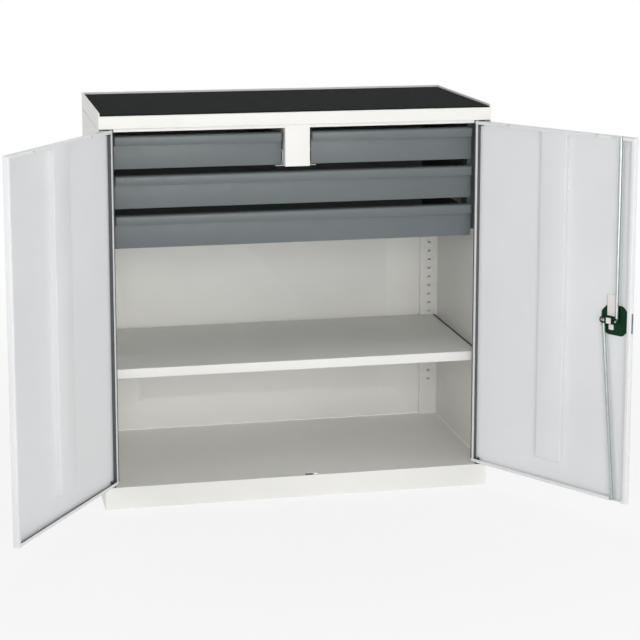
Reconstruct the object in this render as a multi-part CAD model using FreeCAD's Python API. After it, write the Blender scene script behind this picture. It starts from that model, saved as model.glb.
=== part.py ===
"""A low two-door sheet steel tool cabinet with four drawers, one shelf and a rod lock.

Millimetres. Origin on the floor under the middle of the carcass, +Z up, front towards -Y.
At rest both doors stand open at their stops and every drawer is pushed in.
"""
import FreeCAD, Part
import math
import os

Vec = FreeCAD.Vector

# Carcass
width = 1000.0
depth = 500.0
height = 1000.0
sheet = 1.2
base_height = 56.0
base_wall = 2.0
cap_band = 33.0
cap_fold = 40.0
rim_height = 8.0
rim_width = 4.0
mat_thickness = 3.0
mat_gap = 0.5
wall_hem = 2.0
hem_depth = 12.0
back_gap = 1.0

# Inside frame
frame_width = 38.5
post_width = 14.0
post_set_back = 28.0
post_depth = 50.0
post_hole_in = 18.0
strip_width = 50.0
strip_stand = 12.0
strip_hole_in = 26.0
hanger_depth = 50.0
hanger_rise = 10.0
hole_pitch = 25.0
hole_wide = 8.0
hole_tall = 5.0
hole_first = 105.0
hole_count = 22
rail_set_back = 19.0
rail_height = 9.0
rail_depth = 30.0
partition_width = 64.0
partition_lip = 20.0
partition_drop = 2.0

# Shelf
shelf_height = 351.0
shelf_lip = 25.0
shelf_set_back = 45.0
shelf_rear_gap = 14.0
shelf_side_gap = 2.0
shelf_lip_return = 12.0
clip_length = 16.0
clip_height = 14.0
clip_wall = 2.0
clip_reach = 16.0

# Doors
door_thickness = 16.0
door_side_gap = 4.0
door_top_gap = 3.0
door_bottom_gap = 3.0
door_middle_gap = 3.0
pivot_inset = 17.0
door_open = 123.0
hinge_lip = 9.0
edge_lip = 9.0
seal_thickness = 1.0
stiffener_width = 78.0
stiffener_depth = 12.0
stiffener_middle = 251.0
stiffener_rise = 60.0
buffer_radius = 3.5
buffer_height = 2.5
buffer_drop = 4.0
buffer_from_end = 110.0

# Hinges
pin_radius = 3.0
pin_reach = 12.0
pin_seat = 8.0
pin_fit = 0.05
bush_wall = 2.0
bush_collar = 3.0
bush_seat_gap = 0.3

# Lock
lock_from_edge = 62.0
plate_shift = 9.0
plate_wide = 80.0
plate_tall = 75.0
plate_corner = 18.0
plate_thickness = 1.2
bolt_thickness = 2.0
bolt_tall = 49.0
bolt_length = 68.0
bolt_gap = 0.3
lock_gap = 0.4
rod_radius = 4.0
hook_radius = 2.5
hook_proud = 1.5
arm_reach = 20.0
arm_wide = 16.0
arm_end_wall = 4.0
arm_thickness = 1.8
arm_slot_play = 1.6
boss_radius = 9.0
spindle_side = 8.0
spindle_end = 1.8
clip_side = 14.0
lock_clip_thickness = 1.2
lower_rod_foot = 42.0
foot_gap = 2.0
keeper_gap = 3.0
rod_slot_play = 3.0
bar_wide = 24.0
bar_low = 10.0
bar_tall = 52.0
bar_thickness = 2.4
pad_wide = 14.0
pad_tall = 15.0
pad_drop = 17.0

# Outside handle
rose_radius = 19.0
rose_thickness = 5.0
handle_neck = 22.0
handle_neck_radius = 8.0
handle_length = 118.0
handle_wide = 20.0
handle_thickness = 11.0
key_radius = 7.0
key_proud = 1.5
key_slot_wide = 1.4
key_slot_long = 9.0

# Drawers
drawer_top_gap = 12.0
drawer_pitch = 100.0
front_height = 84.0
front_sheet = 1.5
front_set_back = 40.0
front_side_gap = 1.0
front_middle_gap = 6.0
grip_out = 14.0
grip_height = 24.0
grip_wall = 2.0
grip_round = 5.0
box_rear_gap = 26.3
box_height = 68.0
box_floor = 7.0
box_wall = 1.2
runner_space = 12.5
runner_height = 36.0
runner_depth = 10.0
runner_wall = 1.5
runner_gap = 0.5
runner_drop = 20.0
slide_set_back = 12.0
wall_hole_radius = 4.5
wall_hole_span = 700.0
wall_hole_drop = 90.0

# Places that follow from the sizes above
front_y = -depth / 2
back_y = depth / 2
side_x = width / 2
cap_low = height - cap_band
door_low = base_height + door_bottom_gap
door_high = cap_low - door_top_gap
door_width = side_x - door_side_gap - door_middle_gap / 2
pivot_x = side_x - door_side_gap - pivot_inset
pivot_y = front_y + door_thickness / 2
frame_x = side_x - frame_width
post_x = side_x - post_width
post_y = front_y + post_set_back
post_back = post_y + post_depth
post_hole_y = post_back - post_hole_in
panel_y = back_y - back_gap - sheet
strip_y = panel_y - strip_stand
strip_hole_x = side_x - strip_hole_in
rail_y = front_y + rail_set_back
rail_low = cap_low - rail_height
drawer_y = front_y + front_set_back
box_y = drawer_y + front_sheet
box_length = panel_y - box_rear_gap - box_y
drawer_top = rail_low - drawer_top_gap
drawer_tops = [drawer_top, drawer_top - drawer_pitch, drawer_top - 2 * drawer_pitch]
partition_low = drawer_top - front_height - partition_drop
hanger_low = drawer_tops[2] - front_height + hanger_rise
front_x = frame_x - front_side_gap
lock_s = door_width - lock_from_edge
lock_z = (door_low + door_high) / 2
bolt_q = sheet + bolt_gap
plate_q = bolt_q + bolt_thickness + bolt_gap
bar_q = plate_q + plate_thickness
rod_q = bar_q + bar_thickness + lock_gap + rod_radius
arm_q = rod_q + rod_radius + lock_gap
spindle_q = arm_q + arm_thickness + spindle_end
upper_rod_s = lock_s + arm_reach
lower_rod_s = lock_s - arm_reach
lower_foot_s = door_width - lower_rod_foot


def box(x0, x1, y0, y1, z0, z1):
    """A box between two corners, given in any order along X."""
    low, high = min(x0, x1), max(x0, x1)
    return Part.makeBox(high - low, y1 - y0, z1 - z0, Vec(low, y0, z0))


def rod(start, end, radius):
    """A round bar from one point to another."""
    way = end - start
    return Part.makeCylinder(radius, way.Length, start, way)


def prism(points, way):
    """A flat outline pushed along a vector."""
    return Part.Face(Part.makePolygon(points + points[:1])).extrude(way)


def long_edge(shape, y, z):
    """The edges of a block along X at one depth and height."""
    return [e for e in shape.Edges if abs(e.CenterOfMass.y - y) < 0.01 and abs(e.CenterOfMass.z - z) < 0.01]


def both_sides(shape):
    """A shape and its mirror image across the middle of the cabinet."""
    return [shape, shape.mirror(Vec(0, 0, 0), Vec(1, 0, 0))]


def save(name, *solids):
    """Writes one node, holding one solid or a group of separate solids."""
    shape = solids[0] if len(solids) == 1 else Part.makeCompound(list(solids))
    shape.exportStep("parts/" + name + ".step")


class Door:
    """Places pieces on a door by the distance from its hinge edge and the depth behind its outer face."""

    def __init__(self, hand):
        self.hand = hand
        self.pivot = Vec(hand * pivot_x, pivot_y, 0)

    def point(self, s, q, z):
        return Vec(self.hand * (side_x - door_side_gap - s), front_y + q, z)

    def block(self, s0, s1, q0, q1, z0, z1):
        a, b = self.point(s0, q0, z0), self.point(s1, q1, z1)
        return box(a.x, b.x, a.y, b.y, z0, z1)

    def bar(self, start, end, radius):
        return rod(self.point(*start), self.point(*end), radius)

    def opened(self, shape):
        """Swings a piece from the closed door to the open stop, which is the rest pose."""
        turned = shape.copy()
        turned.rotate(self.pivot, Vec(0, 0, 1), self.hand * door_open)
        return turned


def base_frame():
    """An open plinth frame with one cross-member under the middle."""
    outer = box(-side_x, side_x, front_y, back_y, 0, base_height - sheet)
    inner = box(-side_x + base_wall, side_x - base_wall, front_y + base_wall, back_y - base_wall, 0,
                base_height)
    cross = box(-frame_width, frame_width, front_y + base_wall, back_y - base_wall, 0, base_height - sheet)
    hollow = box(-frame_width + base_wall, frame_width - base_wall, front_y + base_wall, back_y - base_wall,
                 base_wall, base_height)
    return outer.cut(inner).fuse(cross.cut(hollow)).removeSplitter()


def floor_panel():
    """The bottom sheet, with seats for the hinge pins and a keeper hole for the lower rod."""
    panel = box(-side_x, side_x, front_y, back_y, base_height - sheet, base_height)
    for hand in (-1, 1):
        seat = Vec(hand * pivot_x, pivot_y, 0)
        panel = panel.cut(Part.makeCylinder(pin_radius + pin_fit, base_height * 2, seat))
    return panel.cut(keeper(lower_foot_s, lower_foot_s + arm_reach, base_height - sheet - 1,
                            base_height + 1))


def keeper(s0, s1, z0, z1):
    """The opening that a rod's end enters as it moves between two places on the closed right door."""
    reach = rod_radius + keeper_gap
    return Door(1).block(s0 - reach, s1 + reach, rod_q - reach, rod_q + reach, z0, z1)


def side_panel():
    """The right side wall: a sheet with a hemmed front edge."""
    wall = box(side_x - sheet, side_x, front_y, back_y, base_height, cap_low)
    hem = box(side_x - wall_hem, side_x, front_y, front_y + hem_depth, base_height, cap_low)
    return wall.fuse(hem).removeSplitter()


def hole_heights():
    """The heights of the shelf holes."""
    return [base_height + hole_first + i * hole_pitch for i in range(hole_count)]


def front_post():
    """The right front post: a narrow channel behind the door, open to the rear, with a row of shelf holes."""
    outer = box(post_x, side_x - sheet, post_y, post_back, base_height, cap_low)
    inner = box(post_x + sheet, side_x - 2 * sheet, post_y + sheet, post_back, base_height, cap_low)
    wide, tall = hole_wide / 2, hole_tall / 2
    holes = [box(post_x - 1, post_x + sheet + 1, post_hole_y - wide, post_hole_y + wide, z - tall, z + tall)
             for z in hole_heights()]
    return outer.cut(inner).cut(Part.makeCompound(holes))


def rear_upright():
    """The right rear upright: a strip that faces the front, with a row of shelf holes and a return."""
    edge = side_x - sheet - strip_width
    face = box(edge, side_x - sheet, strip_y, strip_y + sheet, base_height, cap_low)
    fold = box(edge, edge + sheet, strip_y, panel_y, base_height, cap_low)
    wide, tall = hole_wide / 2, hole_tall / 2
    holes = [box(strip_hole_x - wide, strip_hole_x + wide, strip_y - 1, strip_y + sheet + 1, z - tall,
                 z + tall) for z in hole_heights()]
    return face.fuse(fold).removeSplitter().cut(Part.makeCompound(holes))


def drawer_hangers():
    """Short channels on the side walls that carry the drawers' rails at the front and rear."""
    made = []
    for y in (post_back, strip_y - hanger_depth):
        outer = box(frame_x, side_x - sheet, y, y + hanger_depth, hanger_low, cap_low)
        inner = box(frame_x + sheet, side_x - sheet, y + sheet, y + hanger_depth - sheet, hanger_low, cap_low)
        made += both_sides(outer.cut(inner))
    return made


def back_panel():
    """The rear sheet with four wall-fixing holes."""
    panel = box(-side_x + sheet, side_x - sheet, panel_y, panel_y + sheet, base_height, cap_low)
    for x in (-wall_hole_span / 2, wall_hole_span / 2):
        for z in (base_height + wall_hole_drop, cap_low - wall_hole_drop):
            panel = panel.cut(rod(Vec(x, panel_y - 1, z), Vec(x, back_y + 1, z), wall_hole_radius))
    return panel


def top_rail():
    """The header behind the doors' upper edges, a channel open to the rear."""
    outer = box(-frame_x, frame_x, rail_y, rail_y + rail_depth, rail_low, cap_low)
    inner = box(-frame_x, frame_x, rail_y + sheet, rail_y + rail_depth, rail_low + sheet, cap_low - sheet)
    return outer.cut(inner)


def top_cap():
    """The lid pan: a top sheet, a band all round, a folded front and a raised rim on three sides."""
    outer = box(-side_x, side_x, front_y, back_y, cap_low, height)
    inner = box(-side_x + sheet, side_x - sheet, front_y + sheet, back_y - sheet, cap_low, height - sheet)
    fold = box(-side_x, side_x, front_y, front_y + cap_fold, cap_low, cap_low + sheet)
    raised = box(-side_x, side_x, front_y, back_y, height, height + rim_height)
    tray = box(-side_x + rim_width, side_x - rim_width, front_y - 1, back_y - rim_width, height,
               height + rim_height)
    cap = outer.cut(inner).fuse([fold, raised.cut(tray)]).removeSplitter()
    for hand in (-1, 1):
        seat = Vec(hand * pivot_x, pivot_y, cap_low - 1)
        cap = cap.cut(Part.makeCylinder(pin_radius + pin_fit, sheet + 2, seat))
    return cap.cut(keeper(upper_rod_s - arm_reach, upper_rod_s, cap_low - 1, cap_low + sheet + 1))


def top_mat():
    """The rubber mat that lies inside the rim, up to the front edge."""
    inset = rim_width + mat_gap
    return box(-side_x + inset, side_x - inset, front_y, back_y - inset, height, height + mat_thickness)


def partition():
    """The post between the half-width drawers: a front, two side plates up to the lid, and feet."""
    half = partition_width / 2
    behind = rail_y + rail_depth
    post = box(-half, half, rail_y, behind, partition_low, rail_low)
    plates = box(-half, half, behind, panel_y, partition_low, height - sheet)
    room = box(-half + sheet, half - sheet, rail_y + sheet, panel_y, partition_low, height - sheet)
    foot = box(-half - partition_lip, half + partition_lip, box_y, panel_y, partition_low - sheet,
               partition_low)
    return post.fuse(plates).cut(room).fuse(foot).removeSplitter()


def shelf():
    """A shelf tray with lips bent down and back along the front and rear."""
    x = post_x - shelf_side_gap
    y0 = front_y + shelf_set_back
    y1 = panel_y - shelf_rear_gap
    low = shelf_height - shelf_lip
    tray = box(-x, x, y0, y1, low, shelf_height)
    under = box(-x, x, y0 + sheet, y1 - sheet, low + sheet, shelf_height - sheet)
    mouth = box(-x, x, y0 + shelf_lip_return, y1 - shelf_lip_return, low, low + sheet)
    return tray.cut(under).cut(mouth)


def shelf_clips():
    """Four shelf brackets under the shelf's lips, hooked into the front posts and the rear uprights."""
    seat = shelf_height - shelf_lip
    step = round((seat - clip_height / 2 - base_height - hole_first) / hole_pitch)
    z = base_height + hole_first + step * hole_pitch
    low = min(seat - clip_height, z - hole_tall)
    half, wide, tall = clip_length / 2, hole_wide / 2 - runner_gap, hole_tall / 2 - runner_gap
    x, y = post_x, post_hole_y
    leaf = box(x - clip_wall, x, y - half, y + half, low, seat)
    arm = box(x - clip_reach, x, y - half, y + half, seat - clip_wall, seat)
    tongue = box(x - clip_wall, x + sheet + 1, y - wide, y + wide, z - tall, z + tall)
    front = leaf.fuse([arm, tongue]).removeSplitter()
    x, y = strip_hole_x, strip_y
    leaf = box(x - half, x + half, y - clip_wall, y, low, seat)
    arm = box(x - half, x + half, y - clip_reach, y, seat - clip_wall, seat)
    tongue = box(x - wide, x + wide, y - clip_wall, y + sheet + 1, z - tall, z + tall)
    rear = leaf.fuse([arm, tongue]).removeSplitter()
    return both_sides(front) + both_sides(rear)


def hinge_pins():
    """A pin at the top and bottom of each door."""
    pins = []
    for hand in (-1, 1):
        x = hand * pivot_x
        low = Vec(x, pivot_y, base_height - pin_seat)
        pins.append(rod(low, Vec(x, pivot_y, door_low + pin_reach), pin_radius))
        high = Vec(x, pivot_y, cap_low + pin_seat)
        pins.append(rod(high, Vec(x, pivot_y, door_high - pin_reach), pin_radius))
    return pins


def door_pan(door):
    """A door sheet with flanges on four edges and return lips, bored for its bushes."""
    t = door_thickness
    pan = door.block(0, door_width, 0, t, door_low, door_high)
    room = door.block(sheet, door_width - sheet, sheet, t - sheet, door_low + sheet, door_high - sheet)
    mouth = door.block(hinge_lip, door_width - edge_lip, t - 2 * sheet, t, door_low + edge_lip,
                       door_high - edge_lip)
    pan = pan.cut(room).cut(mouth)
    axis = Vec(door.hand * pivot_x, pivot_y, door_low - 1)
    pan = pan.cut(Part.makeCylinder(bush_outer(), door_high - door_low + 2, axis))
    half = bolt_tall / 2 + bolt_gap
    slot = door.block(door_width - 2 * sheet, door_width + 1, bolt_q - bolt_gap,
                      bolt_q + bolt_thickness + bolt_gap,
                      lock_z - half, lock_z + half)
    return pan.cut(slot)


def lock_door_pan(door):
    """The right door's pan, with slots for both rods in its end flanges and a hole for the spindle."""
    pan = door_pan(door)
    q0 = rod_q - rod_radius - lock_gap
    half = rod_radius + rod_slot_play
    upper = door.block(upper_rod_s - arm_reach - half, upper_rod_s + half, q0, door_thickness,
                       door_high - edge_lip, door_high)
    lower = door.block(lower_foot_s - half, lower_foot_s + arm_reach + half, q0, door_thickness, door_low,
                       door_low + edge_lip)
    hole = door.bar((lock_s, 0, lock_z), (lock_s, sheet, lock_z), spindle_side)
    return pan.cut([upper, lower, hole])


def stiffener(door):
    """A flat channel inside the door, open to the door sheet, from the top flange down."""
    s0 = stiffener_middle - stiffener_width / 2
    s1 = s0 + stiffener_width
    q1 = sheet + stiffener_depth
    low, high = door_low + stiffener_rise, door_high - sheet
    outer = door.block(s0, s1, sheet, q1, low, high)
    inner = door.block(s0 + sheet, s1 - sheet, sheet, q1 - sheet, low + sheet, high)
    return outer.cut(inner)


def bush_outer():
    """The radius of the bush's sleeve, which is also the hole in the door's flange."""
    return pin_radius + pin_fit + bush_wall


def hinge_bushes(door):
    """The sleeve and collar that carry the door on its pins, at the bottom and the top."""
    bushes = []
    for edge, way, gap in ((door_low, 1, door_bottom_gap), (door_high, -1, door_top_gap)):
        collar_end = Vec(door.pivot.x, pivot_y, edge - way * (gap - bush_seat_gap))
        inner_end = Vec(door.pivot.x, pivot_y, edge + way * pin_reach)
        face = Vec(door.pivot.x, pivot_y, edge)
        body = rod(face, inner_end, bush_outer()).fuse(rod(collar_end, face, bush_outer() + bush_collar))
        hole = rod(collar_end - Vec(0, 0, way), inner_end + Vec(0, 0, way), pin_radius + pin_fit)
        bushes.append(body.removeSplitter().cut(hole))
    return bushes


def hinge_seal(door):
    """The strip along the inner face of the hinge flange."""
    return door.block(sheet, sheet + seal_thickness, sheet, door_thickness - sheet, door_low + sheet,
                      door_high - sheet)


def buffers(door):
    """Rubber buffers on the top lip, which meet the top rail when the door is shut."""
    z = door_high - buffer_drop
    made = []
    for s in (buffer_from_end, door_width - buffer_from_end):
        made.append(door.bar((s, door_thickness, z), (s, door_thickness + buffer_height, z), buffer_radius))
    return made


def lock_plate(door):
    """The lock's chamfered cover plate, with a channel behind it for the side bolt."""
    w, h, c = plate_wide / 2, plate_tall / 2, plate_corner
    outline = [(-w, -h + c), (-w + c, -h), (w - c, -h), (w, -h + c), (w, h - c), (w - c, h), (-w + c, h),
               (-w, h - c)]
    middle = lock_s + plate_shift
    points = [door.point(middle + s, sheet, lock_z + z) for s, z in outline]
    body = prism(points, Vec(0, plate_q + plate_thickness - sheet, 0))
    half = bolt_tall / 2 + bolt_gap
    channel = door.block(lock_s - plate_wide, lock_s + plate_wide, sheet, plate_q, lock_z - half,
                         lock_z + half)
    bore = door.bar((lock_s, 0, lock_z), (lock_s, spindle_q, lock_z), boss_radius - bush_wall)
    return body.cut(channel).cut(bore)


def side_bolt(door):
    """The flat bolt that slides out through the slot in the free edge, forked round the spindle."""
    end = door_width - sheet - bolt_gap
    half = bolt_tall / 2
    bolt = door.block(end - bolt_length, end, bolt_q, bolt_q + bolt_thickness, lock_z - half, lock_z + half)
    reach = spindle_side
    fork = door.block(end - bolt_length - 1, lock_s + reach, bolt_q - 1, plate_q, lock_z - reach,
                      lock_z + reach)
    return bolt.cut(fork)


def handle_housing(door):
    """The light plastic rear half of the handle's housing, above the spindle and behind the upper rod."""
    z0 = lock_z + bar_low
    z1 = z0 + bar_tall
    s0, s1 = lock_s - bar_wide / 2, lock_s + bar_wide / 2
    over = door.block(s0, s1, bar_q, bar_q + bar_thickness, z0, z1)
    foot = door.block(s0, s1, sheet, bar_q + bar_thickness, lock_z + plate_tall / 2, z1)
    return over.fuse(foot).removeSplitter()


def lock_pad(door):
    """The light plastic pad on the cover plate, under the lever."""
    s0, s1 = lock_s - pad_wide / 2, lock_s + pad_wide / 2
    z0 = lock_z - pad_drop - pad_tall / 2
    return door.block(s0, s1, bar_q, bar_q + bar_thickness, z0, z0 + pad_tall)


def handle_rose(door):
    """The round plate under the outside handle, bored for its neck."""
    plate = door.bar((lock_s, -rose_thickness, lock_z), (lock_s, 0, lock_z), rose_radius)
    return plate.cut(door.bar((lock_s, -rose_thickness - 1, lock_z), (lock_s, 1, lock_z),
                              handle_neck_radius + lock_gap))


def hooked_rod(door, hook_s, end):
    """A locking rod from the arm's height to its end, with a hook pin through the arm's slot."""
    start = (hook_s, rod_q, lock_z)
    bar = door.bar(start, end, rod_radius)
    knuckle = Part.makeSphere(rod_radius, door.point(*start))
    pin = door.bar(start, (hook_s, arm_q + arm_thickness + hook_proud, lock_z), hook_radius)
    return bar.fuse([knuckle, pin]).removeSplitter()


def upper_rod(door):
    """The upper locking rod, hooked on the arm nearer the door's free edge."""
    return hooked_rod(door, upper_rod_s, (upper_rod_s, rod_q, door_high - sheet))


def lower_rod(door):
    """The slanting lower locking rod, hooked on the other arm."""
    return hooked_rod(door, lower_rod_s, (lower_foot_s, rod_q, door_low + foot_gap))


def lock_arms(door):
    """The two-armed lever that drives the rods through a slot in each arm, on a boss in the cover plate."""
    half = arm_wide / 2
    slot_half = hook_radius + arm_slot_play
    slot_start = arm_reach * math.sqrt(0.5) - hook_radius - lock_gap
    slot_end = arm_reach + hook_radius + lock_gap
    reach = slot_end + arm_end_wall
    q1 = arm_q + arm_thickness
    arms = door.block(lock_s - reach, lock_s + reach, arm_q, q1, lock_z - half, lock_z + half)
    ends = [e for e in arms.Edges if abs(e.tangentAt(e.FirstParameter).y) > 0.5]
    arms = arms.makeFillet(half - 1, ends)
    boss = door.bar((lock_s, bar_q + lock_gap, lock_z), (lock_s, q1, lock_z), boss_radius)
    side = spindle_side / 2
    square = door.block(lock_s - side, lock_s + side, 0, q1, lock_z - side, lock_z + side)
    slots = [door.block(lock_s + way * slot_start, lock_s + way * slot_end, arm_q, q1,
                        lock_z - slot_half, lock_z + slot_half) for way in (-1, 1)]
    return arms.cut(slots).fuse(boss).removeSplitter().cut(square)


def lock_spindle(door):
    """The square bar from the outside handle through the lock arms."""
    side = spindle_side / 2
    return door.block(lock_s - side, lock_s + side, -rose_thickness, spindle_q, lock_z - side,
                      lock_z + side)


def lock_clip(door):
    """The square retaining washer on the spindle's inner end."""
    half = clip_side / 2
    side = spindle_side / 2
    q0 = arm_q + arm_thickness
    washer = door.block(lock_s - half, lock_s + half, q0, q0 + lock_clip_thickness, lock_z - half,
                        lock_z + half)
    return washer.cut(door.block(lock_s - side, lock_s + side, q0 - 1, spindle_q + 1, lock_z - side,
                                 lock_z + side))


def lock_handle(door):
    """The outside lever handle: a neck that turns in the rose, and a grip bar."""
    neck = door.bar((lock_s, -handle_neck, lock_z), (lock_s, 0, lock_z), handle_neck_radius)
    side = spindle_side / 2
    neck = neck.cut(door.block(lock_s - side, lock_s + side, -rose_thickness, 1, lock_z - side,
                               lock_z + side))
    q0 = -handle_neck - handle_thickness
    half = handle_wide / 2
    grip = door.block(lock_s - handle_length + half, lock_s + half, q0, -handle_neck, lock_z - half,
                      lock_z + half)
    end_edges = [e for e in grip.Edges if abs(e.tangentAt(e.FirstParameter).y) > 0.5]
    grip = grip.makeFillet(half - 1, end_edges)
    bore = door.bar((lock_s, q0 - 1, lock_z), (lock_s, -handle_neck - handle_thickness / 3, lock_z),
                    key_radius)
    return grip.fuse(neck).removeSplitter().cut(bore)


def key_plug(door):
    """The key cylinder's face in the handle's head, with its key slot."""
    q0 = -handle_neck - handle_thickness
    plug = door.bar((lock_s, q0 - key_proud, lock_z), (lock_s, -handle_neck - handle_thickness / 3,
                                                       lock_z), key_radius)
    slot = door.block(lock_s - key_slot_wide / 2, lock_s + key_slot_wide / 2, q0 - key_proud - 1,
                      q0 + handle_thickness / 3, lock_z - key_slot_long / 2, lock_z + key_slot_long / 2)
    return plug.cut(slot)


class Drawer:
    """One drawer between two X limits, with its top edge at a height."""

    def __init__(self, x0, x1, front_x0, front_x1, top):
        self.x0, self.x1 = x0 + runner_space, x1 - runner_space
        self.front_x0, self.front_x1 = front_x0, front_x1
        self.top = top
        self.low = top - front_height
        self.runner_z = self.low + runner_drop

    def front(self):
        """The folded front sheet."""
        return box(self.front_x0, self.front_x1, drawer_y, box_y, self.low, self.top)

    def grip(self):
        """The bent grip along the front's top edge, open below for the fingers."""
        y0 = drawer_y - grip_out
        low = self.top - grip_height
        bar = box(self.front_x0, self.front_x1, y0, drawer_y, low, self.top)
        bar = bar.makeFillet(grip_round, long_edge(bar, y0, self.top))
        y1, top = y0 + grip_wall, self.top - grip_wall
        gap = box(self.front_x0 + grip_wall, self.front_x1 - grip_wall, y1, drawer_y, low, top)
        return bar.cut(gap.makeFillet(grip_round - grip_wall, long_edge(gap, y1, top)))

    def tray(self):
        """The open box behind the front."""
        low = self.low + box_floor
        outer = box(self.x0, self.x1, box_y, box_y + box_length, low, low + box_height)
        inner = box(self.x0 + box_wall, self.x1 - box_wall, box_y + box_wall, box_y + box_length - box_wall,
                    low + box_wall, low + box_height + 1)
        return outer.cut(inner)

    def runners(self):
        """The sliding rails on both sides of the box."""
        made = []
        half = runner_height / 2 - runner_wall - runner_gap
        for edge, way in ((self.x0, -1), (self.x1, 1)):
            far = edge + way * (runner_space - runner_wall - runner_gap)
            bar = box(edge, far, box_y, box_y + box_length, self.runner_z - half, self.runner_z + half)
            hollow = box(edge, far - way * runner_wall, box_y - 1, box_y + box_length + 1,
                         self.runner_z - half + runner_wall, self.runner_z + half - runner_wall)
            made.append(bar.cut(hollow))
        return made

    def rails(self):
        """The fixed channels that the sliding rails run in."""
        made = []
        half = runner_height / 2
        y0 = drawer_y + slide_set_back
        y1 = strip_y - runner_gap
        for edge, way in ((self.x0, -1), (self.x1, 1)):
            wall = edge + way * runner_space
            channel = box(wall, wall - way * runner_depth, y0, y1, self.runner_z - half,
                          self.runner_z + half)
            room = box(wall - way * runner_wall, wall - way * (runner_depth + 1), y0 - 1, y1 + 1,
                       self.runner_z - half + runner_wall, self.runner_z + half - runner_wall)
            made.append(channel.cut(room))
        return made


def drawers():
    """The four drawers by name: two of half width side by side, and two of full width under them."""
    half = partition_width / 2
    inner = half + front_middle_gap
    return {
        "small_drawer_left": Drawer(-frame_x, -half, -front_x, -inner, drawer_tops[0]),
        "small_drawer_right": Drawer(half, frame_x, inner, front_x, drawer_tops[0]),
        "upper_drawer": Drawer(-frame_x, frame_x, -front_x, front_x, drawer_tops[1]),
        "lower_drawer": Drawer(-frame_x, frame_x, -front_x, front_x, drawer_tops[2]),
    }


def main():
    os.makedirs("parts", exist_ok=True)
    left, right = Door(-1), Door(1)

    save("base_frame", base_frame())
    save("floor_panel", floor_panel())
    right_wall, left_wall = both_sides(side_panel())
    save("side_panel_right", right_wall)
    save("side_panel_left", left_wall)
    right_post, left_post = both_sides(front_post())
    save("front_post_right", right_post)
    save("front_post_left", left_post)
    save("drawer_hangers", *drawer_hangers())
    right_upright, left_upright = both_sides(rear_upright())
    save("rear_upright_right", right_upright)
    save("rear_upright_left", left_upright)
    save("back_panel", back_panel())
    save("top_rail", top_rail())
    save("top_cap", top_cap())
    save("top_mat", top_mat())
    save("centre_partition", partition())
    save("shelf", shelf())
    save("shelf_clips", *shelf_clips())
    save("hinge_pins", *hinge_pins())

    save("left_door_pan", left.opened(door_pan(left)))
    save("left_door_stiffener", left.opened(stiffener(left)))
    save("left_door_bushes", *[left.opened(b) for b in hinge_bushes(left)])
    save("left_door_buffers", *[left.opened(b) for b in buffers(left)])
    save("left_door_seal", left.opened(hinge_seal(left)))
    save("right_door_pan", right.opened(lock_door_pan(right)))
    save("right_door_stiffener", right.opened(stiffener(right)))
    save("right_door_bushes", *[right.opened(b) for b in hinge_bushes(right)])
    save("right_door_buffers", *[right.opened(b) for b in buffers(right)])
    save("right_door_seal", right.opened(hinge_seal(right)))
    for make in (lock_plate, lock_pad, handle_housing, handle_rose, lock_arms, lock_spindle, lock_clip,
                 lock_handle, key_plug, upper_rod, lower_rod, side_bolt):
        save(make.__name__, right.opened(make(right)))

    for name, drawer in drawers().items():
        save(name + "_front", drawer.front())
        save(name + "_grip", drawer.grip())
        save(name + "_box", drawer.tray())
        save(name + "_runners", *drawer.runners())
        save(name + "_rails", *drawer.rails())


main()
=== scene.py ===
"""Looks of a low sheet steel tool cabinet: lid with a mat, pan doors, rod lock, drawers and shelf."""

import logging
import math
from dataclasses import dataclass
from enum import Enum
from typing import Callable, Optional, Sequence, Union

import bmesh
import bpy
from mathutils import Matrix, Vector


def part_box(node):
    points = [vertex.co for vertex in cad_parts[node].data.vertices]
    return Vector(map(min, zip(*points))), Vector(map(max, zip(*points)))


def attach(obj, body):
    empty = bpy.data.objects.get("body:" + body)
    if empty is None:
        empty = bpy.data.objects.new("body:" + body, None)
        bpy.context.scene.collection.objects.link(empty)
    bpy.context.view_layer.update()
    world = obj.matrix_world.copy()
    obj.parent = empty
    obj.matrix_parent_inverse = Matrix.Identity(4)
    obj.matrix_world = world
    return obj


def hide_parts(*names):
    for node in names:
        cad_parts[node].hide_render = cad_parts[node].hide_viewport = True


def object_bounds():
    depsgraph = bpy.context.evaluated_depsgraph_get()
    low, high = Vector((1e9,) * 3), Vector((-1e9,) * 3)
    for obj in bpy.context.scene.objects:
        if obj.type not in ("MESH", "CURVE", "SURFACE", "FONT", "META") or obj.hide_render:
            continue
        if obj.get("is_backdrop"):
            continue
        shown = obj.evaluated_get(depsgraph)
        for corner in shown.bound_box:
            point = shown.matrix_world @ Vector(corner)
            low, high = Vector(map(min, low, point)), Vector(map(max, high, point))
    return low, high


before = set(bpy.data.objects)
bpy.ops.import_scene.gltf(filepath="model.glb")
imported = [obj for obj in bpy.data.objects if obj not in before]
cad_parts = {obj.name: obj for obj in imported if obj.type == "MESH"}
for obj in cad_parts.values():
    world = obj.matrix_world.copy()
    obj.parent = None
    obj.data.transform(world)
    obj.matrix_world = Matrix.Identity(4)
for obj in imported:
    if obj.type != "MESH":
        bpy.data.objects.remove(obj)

CAD_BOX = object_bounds()
LOG = logging.getLogger("cabinet")
Point = Sequence[float]
FaceTest = Callable[[bmesh.types.BMFace], bool]
EdgeTest = Callable[[bmesh.types.BMEdge], bool]
# Lengths are in metres.
NEAR = 1e-5
MERGE = 2e-6
FACING = 0.9
ALONG = 0.99
FOLD_ANGLE = 0.5
FLAT_ANGLE = math.radians(1)
SHARP_ANGLE = math.radians(35)
SMOOTH_ANGLE = math.radians(32)
SHEET = 0.0012
HAIR = 0.0001
THIN_EDGE = 0.0003
FINE_EDGE = 0.0004
SOFT_EDGE = 0.0006
OVERCUT = 0.001
DEEP_CUT = 0.01


class Axis(Enum):
    """The three directions of the shared frame."""

    X = 0
    Y = 1
    Z = 2


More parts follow.
